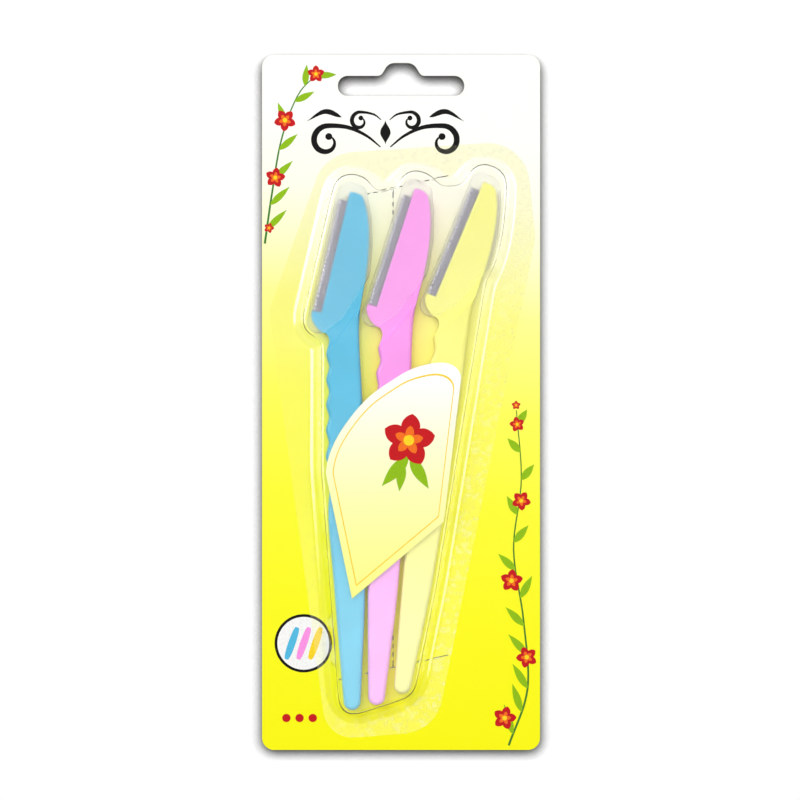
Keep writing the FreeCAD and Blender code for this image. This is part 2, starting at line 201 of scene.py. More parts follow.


# Injection-moulded polystyrene: even colour with a faint flow drift, a satin skin that takes a soft
# highlight,
# and painted light: the colour runs paler toward the thin tail for light that comes through it
def mouldedPolystyrene(name, colour, tail):
    material, tree = newMaterial(name + "MouldedPolystyrene")
    place = addNode(tree, "ShaderNodeTexCoord")
    flow = addNode(tree, "ShaderNodeTexNoise", {"Scale": 1 / polystyrene["flowSize"], "Detail": 2.0},
                   {"Vector": place.outputs["Object"]})
    dark, pale = polystyrene["flow"]
    drift = addNode(tree, "ShaderNodeMapRange", {**noiseSpan, "To Min": dark, "To Max": pale},
                    {"Value": flow.outputs["Fac"]})
    spot = addNode(tree, "ShaderNodeSeparateXYZ", links={0: place.outputs["Object"]})
    start, end = polystyrene["paintedLitTailFrom"]
    # painted light: the colour is mixed paler toward the tail, down the handle's length
    paintedLitShare = addNode(tree, "ShaderNodeMapRange", {"From Min": start, "From Max": end},
                      {"Value": spot.outputs["Z"]})
    length = addNode(tree, "ShaderNodeMix", {"data_type": "RGBA", 6: linear(colour), 7: linear(tail)},
                     {0: paintedLitShare.outputs["Result"]})
    tinted = addNode(tree, "ShaderNodeMix", {"data_type": "RGBA", "blend_type": "MULTIPLY", 0: 1.0},
                     {6: length.outputs[2], 7: drift.outputs["Result"]})
    _, skin = surfaceSkin(tree, place.outputs["Object"], polystyrene["skin"])
    shader = addNode(tree, "ShaderNodeBsdfPrincipled", {"IOR": 1.59},
                     {"Base Color": tinted.outputs[2], **skin})
    addNode(tree, "ShaderNodeOutputMaterial", links={0: shader.outputs[0]})
    return material


for name in razorNames:
    colour, tail = polystyrene["colours"][name], polystyrene["tails"][name]
    dress(nodes[name + "_handle"], mouldedPolystyrene(name, colour, tail))
print("handles dressed")


# Steel of the blades and their comb guards

steel = {
    "blade": {"colour": "#AEACB8", "rough": (0.26, 0.42)},
    "guard": {"colour": "#9C9AA7", "rough": (0.34, 0.5)},
    "marks": {               # from rolling, drawn wider than they are so that they show
        "size": 0.12 * mm, "detail": 4.0, "strength": 0.1, "depth": 0.01 * mm,
    },
    "markLength": 5 * mm,
}


# Rolled stainless strip: grey with fine marks along the edge that spread its highlight
def rolledStainless(name, finish, along):
    material, tree = newMaterial(name + "RolledStainless")
    place = addNode(tree, "ShaderNodeTexCoord")
    turn = math.atan2(along[0], along[2])
    turned = addNode(tree, "ShaderNodeVectorRotate", {"rotation_type": "Y_AXIS", "Angle": -turn},
                     {"Vector": place.outputs["Object"]})
    slimness = steel["marks"]["size"] / steel["markLength"]
    stretched = addNode(tree, "ShaderNodeMapping", {"Scale": (1.0, 1.0, slimness)},
                        {"Vector": turned.outputs[0]})
    _, skin = surfaceSkin(tree, stretched.outputs[0], {**steel["marks"], "rough": finish["rough"]})
    shader = addNode(tree, "ShaderNodeBsdfPrincipled", {
        "Base Color": linear(finish["colour"]), "Metallic": 1.0}, skin)
    addNode(tree, "ShaderNodeOutputMaterial", links={0: shader.outputs[0]})
    return material


slides = {joint["name"]: joint["axis"] for joint in frame["joints"]}
for name in razorNames:
    along = slides[name + "_cap_slide"]
    dress(nodes[name + "_blade"], rolledStainless(name + "Blade", steel["blade"], along))
    dress(nodes[name + "_guard"], rolledStainless(name + "Guard", steel["guard"], along))
print("blades and guards dressed")


# Clear caps

clearCap = {
    "colour": "#FCFCFC",
    "clear": 0.97,
    "ior": 1.25,             # lower than the plastic's, so that the thin walls bend little
    "skin": {"size": 0.8 * mm, "detail": 3.0, "rough": (0.38, 0.46), "strength": 0.05, "depth": 0.02 * mm},
}


# For shadow and diffuse rays a clear surface isn't there, so light passes it and nothing is lit twice
def throughLight(tree, shader):
    rays = addNode(tree, "ShaderNodeLightPath")
    lighting = addNode(tree, "ShaderNodeMath", {"operation": "MAXIMUM"},
                       {0: rays.outputs["Is Shadow Ray"], 1: rays.outputs["Is Diffuse Ray"]})
    nothing = addNode(tree, "ShaderNodeBsdfTransparent")
    seen = addNode(tree, "ShaderNodeMixShader", links={
        0: lighting.outputs[0], 1: shader.outputs[0], 2: nothing.outputs[0]})
    addNode(tree, "ShaderNodeOutputMaterial", links={0: seen.outputs[0]})


# Moulded polypropylene cap: clear but a little milky, so what is in it looks paler and softer
def milkyPolypropylene():
    material, tree = newMaterial("milkyPolypropylene")
    place = addNode(tree, "ShaderNodeTexCoord")
    _, skin = surfaceSkin(tree, place.outputs["Object"], clearCap["skin"])
    shader = addNode(tree, "ShaderNodeBsdfPrincipled", {
        "Base Color": linear(clearCap["colour"]), "IOR": clearCap["ior"],
        "Transmission Weight": clearCap["clear"]}, skin)
    throughLight(tree, shader)
    return material


capPlastic = milkyPolypropylene()
for name in razorNames:
    dress(nodes[name + "_cap"], capPlastic)
print("caps dressed")


# Outlines are read from the frame: ordered (x, z) loops round the faces of a node that lie at a level

def faceLoops(node, level, slack=0.01 * mm):
    mesh = nodes[node].data
    count = {}
    for face in mesh.polygons:
        corners = [mesh.vertices[v].co for v in face.vertices]
        if max(abs(c.y - level) for c in corners) > slack:
            continue
        keys = [(round(c.x / mm, 4), round(c.z / mm, 4)) for c in corners]
        for i, key in enumerate(keys):
            after = keys[(i + 1) % len(keys)]
            if (after, key) in count:
                del count[(after, key)]
            else:
                count[(key, after)] = True
    follow = {start: end for start, end in count}
    loops = []
    while follow:
        start = next(iter(follow))
        loop = [start]
        while loop[-1] in follow:
            loop.append(follow.pop(loop[-1]))
        loops.append([Vector(p) for p in loop[:-1]])
    return sorted(loops, key=loopLength, reverse=True)


def loopLength(loop):
    return sum((loop[i] - loop[i - 1]).length for i in range(len(loop)))


def loopArea(loop):
    return sum(loop[i - 1].x * loop[i].y - loop[i].x * loop[i - 1].y for i in range(len(loop))) / 2


# Points an even step apart round a loop, anticlockwise
def evenLoop(loop, step):
    ring = loop if loopArea(loop) > 0 else loop[::-1]
    total = loopLength(ring)
    count = int(total / step)
    points, walked, goal = [], 0.0, 0.0
    for i in range(len(ring)):
        a, b = ring[i], ring[(i + 1) % len(ring)]
        run = (b - a).length
        while len(points) < count and goal <= walked + run:
            points.append(a.lerp(b, (goal - walked) / run) if run else a.copy())
            goal += total / count
        walked += run
    return points


def softLoop(loop, rounds):
    for _ in range(rounds):
        last = len(loop) - 1
        loop = [loop[i] / 2 + (loop[i - 1] + loop[i + 1 if i < last else 0]) / 4 for i in range(len(loop))]
    return loop


# The loop moved out by a distance, square to itself
def movedLoop(loop, distance):
    moved = []
    for i, point in enumerate(loop):
        along = loop[(i + 1) % len(loop)] - loop[i - 1]
        moved.append(point + Vector((along.y, -along.x)).normalized() * distance)
    return moved


def meshPiece(name, bm, smoothAngle=None):
    bmesh.ops.recalc_face_normals(bm, faces=bm.faces[:])
    mesh = bpy.data.meshes.new(name)
    bm.to_mesh(mesh)
    bm.free()
    piece = bpy.data.objects.new(name, mesh)
    bpy.context.scene.collection.objects.link(piece)
    if smoothAngle is not None:
        for face in mesh.polygons:
            face.use_smooth = True
        mesh.set_sharp_from_angle(angle=math.radians(smoothAngle))
    return piece


# Blister: a sheet thermoformed over rounded edges, with one profile run round the contour of its roof

blister = {                  # lengths in millimetres
    "sheet": 0.35,
    "contourStep": 0.5,
    "contourRounds": 14,
    "flangeStep": 1.0,
    "growStep": 0.1,         # the contour grows outward by this much at a time, and is evened out each time
    "firstRounds": 4,
    "growRounds": 1,
    "shoulderIn": 0.9,       # where the roof begins to turn down, in from the contour
    "shoulderRound": 1.2,
    "footRound": 3.0,
    "draft": 64,             # slope of the wall in degrees
    "turnSteps": 8,
    "sharpAngle": 40,
}


# Profile of the wall from roof to flange as (out, up, slope) with the slope's angle for the sheet's normal
def wallProfile(height):
    draft = math.radians(blister["draft"])
    top, foot = blister["shoulderRound"], blister["footRound"]
    steps = blister["turnSteps"]
    angles = [draft * i / steps for i in range(steps + 1)]
    points = []
    for angle in angles:
        out = top * math.sin(angle) - blister["shoulderIn"]
        points.append((out, height - top * (1 - math.cos(angle)), angle))
    drop = points[-1][1] - foot * (1 - math.cos(draft))
    start = points[-1][0] + drop / math.tan(draft)
    for angle in angles[::-1]:
        out = start + foot * (math.sin(draft) - math.sin(angle))
        points.append((out, foot * (1 - math.cos(angle)), angle))
    return points


# Rings round the contour, one for each row of the profile, that grow softer as they grow outward
def grownRings(contour, profile):
    reached = profile[0][0]
    loop = softLoop(movedLoop(contour, reached), blister["firstRounds"])
    rings = [loop]
    for out, _, _ in profile[1:]:
        count = math.ceil((out - reached) / blister["growStep"])
        for _ in range(count):
            loop = softLoop(movedLoop(loop, (out - reached) / count), blister["growRounds"])
        rings.append(loop)
        reached = out
    return rings


def blisterBubble():
    low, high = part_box("blister_shell")
    roof = faceLoops("blister_shell", low.y)[0]
    flangeLevel = high.y / mm - blister["sheet"]
    flange = evenLoop(faceLoops("blister_shell", flangeLevel * mm)[0], blister["flangeStep"])
    contour = softLoop(evenLoop(roof, blister["contourStep"]), blister["contourRounds"])
    profile = wallProfile(flangeLevel - low.y / mm)
    loops = grownRings(contour, profile)
    bm = bmesh.new()
    skins = []
    for depth in (0.0, blister["sheet"]):
        rings = []
        for loop, (_, up, angle) in zip(loops, profile):
            ring = movedLoop(loop, -depth * math.sin(angle))
            level = flangeLevel - up + depth * math.cos(angle)
            rings.append([bm.verts.new((p.x * mm, level * mm, p.y * mm)) for p in ring])
        edge = [bm.verts.new((p.x * mm, (flangeLevel + depth) * mm, p.y * mm)) for p in flange]
        for inner, outer in zip(rings, rings[1:]):
            for i in range(len(inner)):
                bm.faces.new((inner[i - 1], inner[i], outer[i], outer[i - 1]))
        for rims in ([rings[0]], [edge, rings[-1]]):
            corners = [v for rim in rims for v in rim]
            for face in tessellate_polygon([[v.co.xzy for v in rim] for rim in rims]):
                bm.faces.new([corners[i] for i in face])
        skins.append(edge)
    outer, inner = skins
    for i in range(len(outer)):
        bm.faces.new((outer[i - 1], outer[i], inner[i], inner[i - 1]))
    return meshPiece("blister_bubble", bm, blister["sharpAngle"])


clearSheet = {
    "colour": "#FEFEFC",
    "sealed": "#FEFDE2",      # the heat-seal lacquer under the flange is a little creamy
    "sealFade": 0.25 * mm,    # depth over which the seal's look sets in above the flange
    "sealSize": 1.5 * mm,     # patches where the seal has and hasn't taken
    "sealPatch": (0.5, 0.62),
    "sealFrom": (-30 * mm, 20 * mm),  # the seal gets poorer from left to right, and downward
    "haze": 0.22,
    "rough": (0.03, 0.2),
    "waveSize": 11 * mm,      # slow waves that forming leaves in the sheet
    "waveDepth": 0.25 * mm,
    "waveStrength": 0.25,
    "gritSize": 0.8 * mm,
    "gritDepth": 0.12 * mm,
    "gritStrength": 0.35,
}


# Thermoformed PET: glass-clear and glossy on the bubble, mottled with half-taken seal on the flange
def thermoformedPet(flangeLevel):
    material, tree = newMaterial("thermoformedPet")
    place = addNode(tree, "ShaderNodeTexCoord")
    spot = addNode(tree, "ShaderNodeSeparateXYZ", links={0: place.outputs["Object"]})
    onFlange = addNode(tree, "ShaderNodeMapRange", {
        "From Min": flangeLevel - clearSheet["sealFade"], "From Max": flangeLevel},
        {"Value": spot.outputs["Y"]})
    seal = addNode(tree, "ShaderNodeTexNoise", {
        "Scale": 1 / clearSheet["sealSize"], "Detail": 4.0, "Roughness": 0.6},
        {"Vector": place.outputs["Object"]})
    low = addNode(tree, "ShaderNodeMapRange", {"From Min": cadBox[1].z, "From Max": cadBox[0].z},
                  {"Value": spot.outputs["Z"]})
    good, poor = clearSheet["sealFrom"]
    rightward = addNode(tree, "ShaderNodeMapRange", {"From Min": good, "From Max": poor},
                        {"Value": spot.outputs["X"]})
    spread = addNode(tree, "ShaderNodeMath", {"operation": "MULTIPLY"},
                     {0: low.outputs["Result"], 1: rightward.outputs["Result"]})
    taken, untaken = clearSheet["sealPatch"]
    patches = addNode(tree, "ShaderNodeMapRange", {"From Min": taken, "From Max": untaken},
                      {"Value": seal.outputs["Fac"]})
    loose = addNode(tree, "ShaderNodeMath", {"operation": "MULTIPLY"},
                    {0: patches.outputs["Result"], 1: spread.outputs[0]})
    hazy = addNode(tree, "ShaderNodeMath", {"operation": "MULTIPLY"},
                   {0: loose.outputs[0], 1: onFlange.outputs["Result"]})
    clear = addNode(tree, "ShaderNodeMapRange", {"To Min": 1.0, "To Max": 1 - clearSheet["haze"]},
                    {"Value": hazy.outputs[0]})
    glossy, dull = clearSheet["rough"]
    rough = addNode(tree, "ShaderNodeMapRange", {"To Min": glossy, "To Max": dull},
                    {"Value": hazy.outputs[0]})
    wave = addNode(tree, "ShaderNodeTexNoise", {"Scale": 1 / clearSheet["waveSize"], "Detail": 1.0},
                   {"Vector": place.outputs["Object"]})
    waves = addNode(tree, "ShaderNodeBump", {
        "Strength": clearSheet["waveStrength"], "Distance": clearSheet["waveDepth"]},
        {"Height": wave.outputs["Fac"]})
    grit = addNode(tree, "ShaderNodeTexVoronoi", {"Scale": 1 / clearSheet["gritSize"]},
                   {"Vector": place.outputs["Object"]})
    gritOnFlange = addNode(tree, "ShaderNodeMath", {"operation": "MULTIPLY"},
                           {0: grit.outputs["Distance"], 1: hazy.outputs[0]})
    bump = addNode(tree, "ShaderNodeBump", {
        "Strength": clearSheet["gritStrength"], "Distance": clearSheet["gritDepth"]},
        {"Height": gritOnFlange.outputs[0], "Normal": waves.outputs[0]})
    tint = addNode(tree, "ShaderNodeMix", {
        "data_type": "RGBA", 6: linear(clearSheet["colour"]), 7: linear(clearSheet["sealed"])},
        {0: onFlange.outputs["Result"]})
    shader = addNode(tree, "ShaderNodeBsdfPrincipled", {"IOR": 1.5}, {
        "Base Color": tint.outputs[2], "Roughness": rough.outputs["Result"],
        "Transmission Weight": clear.outputs["Result"], "Normal": bump.outputs[0]})
    throughLight(tree, shader)
    return material


bubble = blisterBubble()
dress(bubble, thermoformedPet(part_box("blister_shell")[1].y - blister["sheet"] * mm))
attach(bubble, "pack")
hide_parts("blister_shell")
print("blister formed")


# Printed motifs: each ink is one mesh of thin closed slabs, drawn in millimetres on the face that carries it

inks = {
    "black": {"hex": "#060405", "film": 0.012},
    "white": {"hex": "#F6F5F3", "film": 0.008},
    "stem": {"hex": "#3F7A2A", "film": 0.010},
    "leaf": {"hex": "#8DBA14", "film": 0.014},
    "red": {"hex": "#C3141B", "film": 0.018},
    "orange": {"hex": "#F0701E", "film": 0.022},
    "gold": {"hex": "#F9D423", "film": 0.026},
    "blue": {"hex": "#52B8DE", "film": 0.012},
    "pink": {"hex": "#FB93E2", "film": 0.012},
    "overprint": 0.0007,     # each slab stands this much higher than the last, so that none lie in one plane
    "overprints": 5,         # and after this many it starts again
    "cover": (0.92, 1.08),   # darkest and palest grain
    "skin": {"size": 0.45 * mm, "detail": 2.0, "rough": (0.34, 0.46), "strength": 0.05, "depth": 0.02 * mm},
    "shine": 0.15,
}


# Offset ink under varnish: flat colour with a faint grain of paper showing through
def offsetInk(name, colour):
    material, tree = newMaterial(name + "OffsetInk")
    place = addNode(tree, "ShaderNodeTexCoord")
    grain, skin = surfaceSkin(tree, place.outputs["Object"], inks["skin"])
    dark, pale = inks["cover"]
    cover = addNode(tree, "ShaderNodeMapRange", {**noiseSpan, "To Min": dark, "To Max": pale},
                    {"Value": grain})
    tinted = addNode(tree, "ShaderNodeMix", {
        "data_type": "RGBA", "blend_type": "MULTIPLY", 0: 1.0, 6: linear(colour)},
        {7: cover.outputs["Result"]})
    shader = addNode(tree, "ShaderNodeBsdfPrincipled", {"IOR": 1.5, "Specular IOR Level": inks["shine"]},
                     {"Base Color": tinted.outputs[2], **skin})
    addNode(tree, "ShaderNodeOutputMaterial", links={0: shader.outputs[0]})
    return material


# A closed slab between two chains of (x, z) points
def slab(bm, left, right, back, front, closed=False):
    rows = []
    for a, b in zip(left, right):
        corners = ((a, front), (b, front), (b, back), (a, back))
        rows.append([bm.verts.new((p.x * mm, y * mm, p.y * mm)) for p, y in corners])
    count = len(rows)
    for i in range(count if closed else count - 1):
        here, after = rows[i], rows[(i + 1) % count]
        for j in range(4):
            bm.faces.new((here[j], here[(j + 1) % 4], after[(j + 1) % 4], after[j]))
    if not closed:
        bm.faces.new(rows[0])
        bm.faces.new(rows[-1][::-1])


# Points of a smooth curve through given places
def smoothLine(places, steps=10):
    points = [Vector(p) for p in places]
    ends = [points[0] * 2 - points[1]] + points + [points[-1] * 2 - points[-2]]
    line = []
    for i in range(1, len(ends) - 2):
        a, b, c, d = ends[i - 1:i + 3]
        for k in range(steps):
            t = k / steps
            line.append((b * 2 + (c - a) * t + (a * 2 - b * 5 + c * 4 - d) * t * t
                         + (b * 3 - a - c * 3 + d) * t ** 3) / 2)
    return line + [points[-1]]


# The two sides of a stroke along a line, whose half width is a function of the way along it
def strokeSides(line, halfWidth, thinnest=0.03):
    left, right = [], []
    last = len(line) - 1
    for i, point in enumerate(line):
        along = (line[min(i + 1, last)] - line[max(i - 1, 0)]).normalized()
        side = Vector((-along.y, along.x)) * max(halfWidth(i / last), thinnest)
        left.append(point + side)
        right.append(point - side)
    return left, right


def straight(root, turn, length, steps=12):
    tip = Vector((math.sin(math.radians(turn)), math.cos(math.radians(turn)))) * length
    return [Vector(root) + tip * i / steps for i in range(steps + 1)]


# Places round a spiral, with its radius and turn given from first to last
def curl(eye, radii, turns, count=10):
    places = []
    for i in range(count + 1):
        radius = radii[0] + (radii[1] - radii[0]) * i / count
        turn = math.radians(turns[0] + (turns[1] - turns[0]) * i / count)
        places.append((eye[0] + radius * math.cos(turn), eye[1] + radius * math.sin(turn)))
    return places


def ringPoints(centre, radius, count=48):
    turns = [2 * math.pi * i / count for i in range(count)]
    return [Vector(centre) + Vector((math.cos(t), math.sin(t))) * radius for t in turns]


# Swell of a stroke from nothing to 1 and back; a bulge under 1 brings its widest place nearer to its root
def swell(t, bulge=1.0, fullness=1.0):
    return math.sin(math.pi * min(1, t ** bulge)) ** fullness


motif = {
    "discSteps": 20,
    "leafBulge": 0.8,
    "veinReach": 0.7,
    "veinHalfWidth": 0.14,
    "petals": 5,
    "petalInks": (("red", 1.0, 0.36), ("orange", 0.55, 0.16)),  # reach and half width by the radius
    "petalRoot": 0.12,       # a petal starts this far along its swell, so it isn't pointed there
    "petalBulge": 1.3,
    "petalFullness": 0.7,
    "eye": 0.2,
}


# What is printed on one face: a mesh for each ink
class Print:
    def __init__(self, name, body, slot, level):
        self.name, self.body, self.slot, self.level = name, body, slot, level
        self.sheets = {}
        self.count = 0

    def sheet(self, ink):
        if ink not in self.sheets:
            self.sheets[ink] = bmesh.new()
        return self.sheets[ink]

    def put(self, ink, left, right, closed=False):
        self.count += 1
        film = inks[ink]["film"] + inks["overprint"] * (self.count % inks["overprints"])
        slab(self.sheet(ink), left, right, self.level, self.level - film, closed)

    def stroke(self, ink, line, halfWidth):
        self.put(ink, *strokeSides(line, halfWidth))

    def disc(self, ink, centre, radius):
        line = straight((centre[0], centre[1] - radius), 0, 2 * radius, motif["discSteps"])
        self.stroke(ink, line, lambda t: radius * math.sqrt(max(0, 1 - (2 * t - 1) ** 2)))

    def ring(self, ink, centre, radius, width):
        self.put(ink, ringPoints(centre, radius), ringPoints(centre, radius - width), True)

    def leaf(self, root, turn, length, width):
        self.stroke("leaf", straight(root, turn, length), lambda t: width / 2 * swell(t, motif["leafBulge"]))
        vein = straight(root, turn, length * motif["veinReach"])
        self.stroke("stem", vein, lambda t: motif["veinHalfWidth"] * (1 - t))

    def blossom(self, centre, radius, turn):
        start = motif["petalRoot"]
        for i in range(motif["petals"]):
            heading = turn + 360 / motif["petals"] * i
            for ink, reach, wide in motif["petalInks"]:
                petal = straight(centre, heading, radius * reach)
                self.stroke(ink, petal, lambda t: radius * wide * swell(
                    start + (1 - start) * t ** motif["petalBulge"], fullness=motif["petalFullness"]))
        self.disc("gold", centre, radius * motif["eye"])

    def finish(self):
        for ink, bm in self.sheets.items():
            piece = meshPiece(self.name + "_" + ink, bm)
            dress(piece, offsetInk(self.name + ink.capitalize(), inks[ink]["hex"]))
            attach(piece, self.body)


cardArt = {
    "scrollMiddle": (-4.5, -20.0),
    "scrolls": (             # half of the ornament, measured from its middle
        {
            "lead": ((1.4, -4.2), (5.4, -1.0), (10.6, 1.4)),
            "eye": (16.8, -2.6), "round": (4.6, 1.5), "wide": 0.85, "ball": 1.0,
        },
        {
            "lead": ((1.2, 3.6), (3.4, 5.2)),
            "eye": (7.4, 3.2), "round": (2.7, 1.0), "wide": 0.6, "ball": 0.7,
        },
    ),
    "scrollTurn": (100, -250),
    "scrollEnd": 0.2,        # share of its half width that a scroll keeps at its ends
    "scrollSwell": (0.8, 1.2),
    "brow": ((12.6, 4.4), (17.4, 6.0), (22.6, 3.2)),
    "browWide": 0.75,
    "browSwell": (0.7, 1.0),
    "lozenge": (3.4, 1.5),
    "lozengeSwell": (1.0, 1.6),
    "sprigs": (
        {
            "stem": ((-39.2, -52), (-37.2, -38), (-34.4, -22), (-29.5, -9), (-23, -2.4)),
            "leaves": 8, "leaf": 8.0,
            "blossoms": (    # middle, radius and turn
                (-36.2, -33, 2.9, 10), (-33.4, -16.5, 3.2, 40), (-24.5, -3.2, 2.5, 0),
                (-38.0, -47.5, 1.5, 20),
            ),
        },
        {
            "stem": ((31, -196.4), (36.4, -180), (35.2, -160), (32.4, -140), (34.6, -120), (33.2, -100)),
            "leaves": 12, "leaf": 9.0,
            "blossoms": (
                (29.8, -188.5, 3.4, 15), (36.2, -171, 3.1, 50), (31.8, -149, 3.3, 5),
                (34.6, -126, 2.8, 30), (33.4, -104, 2.2, 60), (33.1, -98.5, 1.3, 0),
            ),
        },
    ),
    "stemHalf": (0.32, 0.14),  # half width at root and tip
    "firstLeaf": 0.6,        # by the space between two leaves
    "leafTurn": 38,
    "leafWide": 0.24,        # by the length of the sprig's first leaf
    "leafShrink": 0.04,      # each leaf loses this share of that length
    "reach": 38.6,           # no leaf tip comes nearer to the card's edges than this leaves
    "inset": (-28.0, -167.0, 8.4),  # middle and radius
    "insetLine": 0.8,
    "bars": (("blue", -3.4), ("pink", 0.0), ("gold", 3.4)),
    "barFoot": (-1.6, -4.6),
    "barTurn": 19,
    "barLength": 9.7,
    "barHalf": (0.5, 0.55),  # at its ends, and what the swell adds
    "barSwell": (1.0, 0.5),
    "dots": ((-33.0, -188.5), (-29.2, -188.5), (-25.4, -188.5)),
    "dotRadius": 1.2,
}


def scrollOrnament(art):
    x, z = cardArt["scrollMiddle"]
    thin = cardArt["scrollEnd"]
    for side in (-1, 1):
        for scroll in cardArt["scrolls"]:
            places = list(scroll["lead"]) + curl(scroll["eye"], scroll["round"], cardArt["scrollTurn"])
            line = smoothLine([(x + side * a, z + b) for a, b in places])
            art.stroke("black", line, lambda t: scroll["wide"] * (
                thin + (1 - thin) * swell(t, *cardArt["scrollSwell"])))
            art.disc("black", line[-1], scroll["ball"])
        line = smoothLine([(x + side * a, z + b) for a, b in cardArt["brow"]])
        art.stroke("black", line, lambda t: cardArt["browWide"] * swell(t, *cardArt["browSwell"]))
    drop, wide = cardArt["lozenge"]
    line = straight((x, z - drop), 0, 2 * drop)
    art.stroke("black", line, lambda t: wide * swell(t, *cardArt["lozengeSwell"]))


def flowerSprig(art, sprig):
    line = smoothLine(sprig["stem"])
    last = len(line) - 1
    root, tip = cardArt["stemHalf"]
    art.stroke("stem", line, lambda t: root + (tip - root) * t)
    for i in range(sprig["leaves"]):
        at = int((i + cardArt["firstLeaf"]) * last / sprig["leaves"])
        along = line[min(at + 1, last)] - line[at - 1]
        heading = math.degrees(math.atan2(along.x, along.y))
        turn = cardArt["leafTurn"] if i % 2 else -cardArt["leafTurn"]
        length = sprig["leaf"] * (1 - cardArt["leafShrink"] * i)
        if abs(line[at].x + length * math.sin(math.radians(heading + turn))) > cardArt["reach"]:
            turn = -turn
        art.leaf(line[at], heading + turn, length, sprig["leaf"] * cardArt["leafWide"])
    for x, z, radius, turn in sprig["blossoms"]:
        art.blossom((x, z), radius, turn)


def razorInset(art):
    x, z, radius = cardArt["inset"]
    art.disc("white", (x, z), radius - cardArt["insetLine"] / 2)
    art.ring("black", (x, z), radius, cardArt["insetLine"])
    right, up = cardArt["barFoot"]
    ends, more = cardArt["barHalf"]
    for ink, shift in cardArt["bars"]:
        line = straight((x + shift + right, z + up), cardArt["barTurn"], cardArt["barLength"])
        art.stroke(ink, line, lambda t: ends + more * swell(t, *cardArt["barSwell"]))


def cardPrint():
    art = Print("card_print", "pack", "printed_card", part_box("backing_card")[0].y / mm)
    scrollOrnament(art)
    for sprig in cardArt["sprigs"]:
        flowerSprig(art, sprig)
    razorInset(art)
    for dot in cardArt["dots"]:
        art.disc("red", dot, cardArt["dotRadius"])
    art.finish()


cardPrint()
print("card printed")


# Scores that the flaps fold at: the coating runs on over the pressed line, so the print isn't broken there

score = {                    # in millimetres
    "halfWidth": 0.2,
    "film": 0.006,
    "side": 0.02,            # vertices this near to the fold line give its ends
}


def foldScores():
    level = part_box("backing_card")[0].y / mm
    half = score["halfWidth"]
    for node, outer in (("left_flap", min), ("right_flap", max)):
        corners = [v.co / mm for v in nodes[node].data.vertices]
        x = outer(p.x for p in corners)
        heights = [p.z for p in corners if abs(p.x - x) < score["side"]]
        ends = (min(heights), max(heights))
        left, right = [[Vector((x + shift, z)) for z in ends] for shift in (-half, half)]
        bm = bmesh.new()
        slab(bm, left, right, level, level - score["film"])
        piece = meshPiece(node + "_score", bm)
        dress(piece, boxboard)
        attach(piece, "pack")


foldScores()
print("scores pressed")


# Label: a paper sticker on the roof of the bubble, with its own motif

label = {
    "paper": 0.085,
    "edgeStep": 0.8,
    "stops": ((0.0, "#FAF98A"), (0.2, "#FBFA98"), (0.42, "#FCFBB2"), (0.66, "#FDFCD4"), (0.92, "#FDFDFA")),
    "borderShares": (0.9, 0.885),
    "blossom": ((2.2, -108.5), 7.6, 8),  # middle, radius and turn
    "leaves": (              # root, turn, length and width
        ((2.2, -113.0), 222, 11.5, 3.6), ((2.6, -113.2), 150, 10.5, 3.4), ((0.4, -114.6), 186, 8.5, 2.8),
    ),
    "skin": {"size": 0.6 * mm, "detail": 3.0, "rough": (0.48, 0.6), "strength": 0.1, "depth": 0.02 * mm},
    "shine": 0.3,
}


# Coated label paper: white running to pale yellow, nearly matt, with a faint tooth
def coatedPaper():
    material, tree = newMaterial("coatedPaper")
    low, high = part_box("label_sticker")
    place = addNode(tree, "ShaderNodeTexCoord")
    spot = addNode(tree, "ShaderNodeSeparateXYZ", links={0: place.outputs["Object"]})
    share = addNode(tree, "ShaderNodeMapRange", {"From Min": low.z, "From Max": high.z},
                    {"Value": spot.outputs["Z"]})
    tint = addNode(tree, "ShaderNodeValToRGB", {"stops": label["stops"]}, {"Fac": share.outputs["Result"]})
    _, skin = surfaceSkin(tree, place.outputs["Object"], label["skin"])
    shader = addNode(tree, "ShaderNodeBsdfPrincipled", {"IOR": 1.5, "Specular IOR Level": label["shine"]},
                     {"Base Color": tint.outputs["Color"], **skin})
    addNode(tree, "ShaderNodeOutputMaterial", links={0: shader.outputs[0]})
    return material


def paperLabel():
    low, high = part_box("label_sticker")
    back = high.y / mm
    front = back - label["paper"]
    edge = evenLoop(faceLoops("label_sticker", low.y)[0], label["edgeStep"])
    bm = bmesh.new()
    rims = [[bm.verts.new((p.x * mm, y * mm, p.y * mm)) for p in edge] for y in (front, back)]
    for i in range(len(edge)):
        bm.faces.new((rims[0][i - 1], rims[0][i], rims[1][i], rims[1][i - 1]))
    for rim in rims:
        for face in tessellate_polygon([[v.co.xzy for v in rim]]):
            bm.faces.new([rim[i] for i in face])
    piece = meshPiece("paper_label", bm)
    dress(piece, coatedPaper())
    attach(piece, "pack")
    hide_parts("label_sticker")
    art = Print("label_print", "pack", "label_paper", front)
    middle = sum(edge, Vector((0, 0))) / len(edge)
    art.put("gold", *[[middle + (p - middle) * share for p in edge] for share in label["borderShares"]], True)
    for leaf in label["leaves"]:
        art.leaf(*leaf)
    art.blossom(*label["blossom"])
    art.finish()


paperLabel()
print("label stuck on")


# Table that the pack lies on; it is drawn from the pack's side only, so the pack's back can be looked at

stage = {
    "size": 2.4,
    "gap": 1.6 * mm,
    "colour": "#F4F4F4",
    "shade": "#000000",
    "lift": 0.12,            # a slight glow that keeps the white clean
    "rough": 0.9,
    "shadeReach": 4 * mm,    # under edges and in slits the table darkens within this reach
    "shadeFrom": (0.0, -0.8, 0.6),  # looked for forward and up, so that it falls below an edge
    "shadeDepth": 3.8,
    "shadeSamples": 8,
}
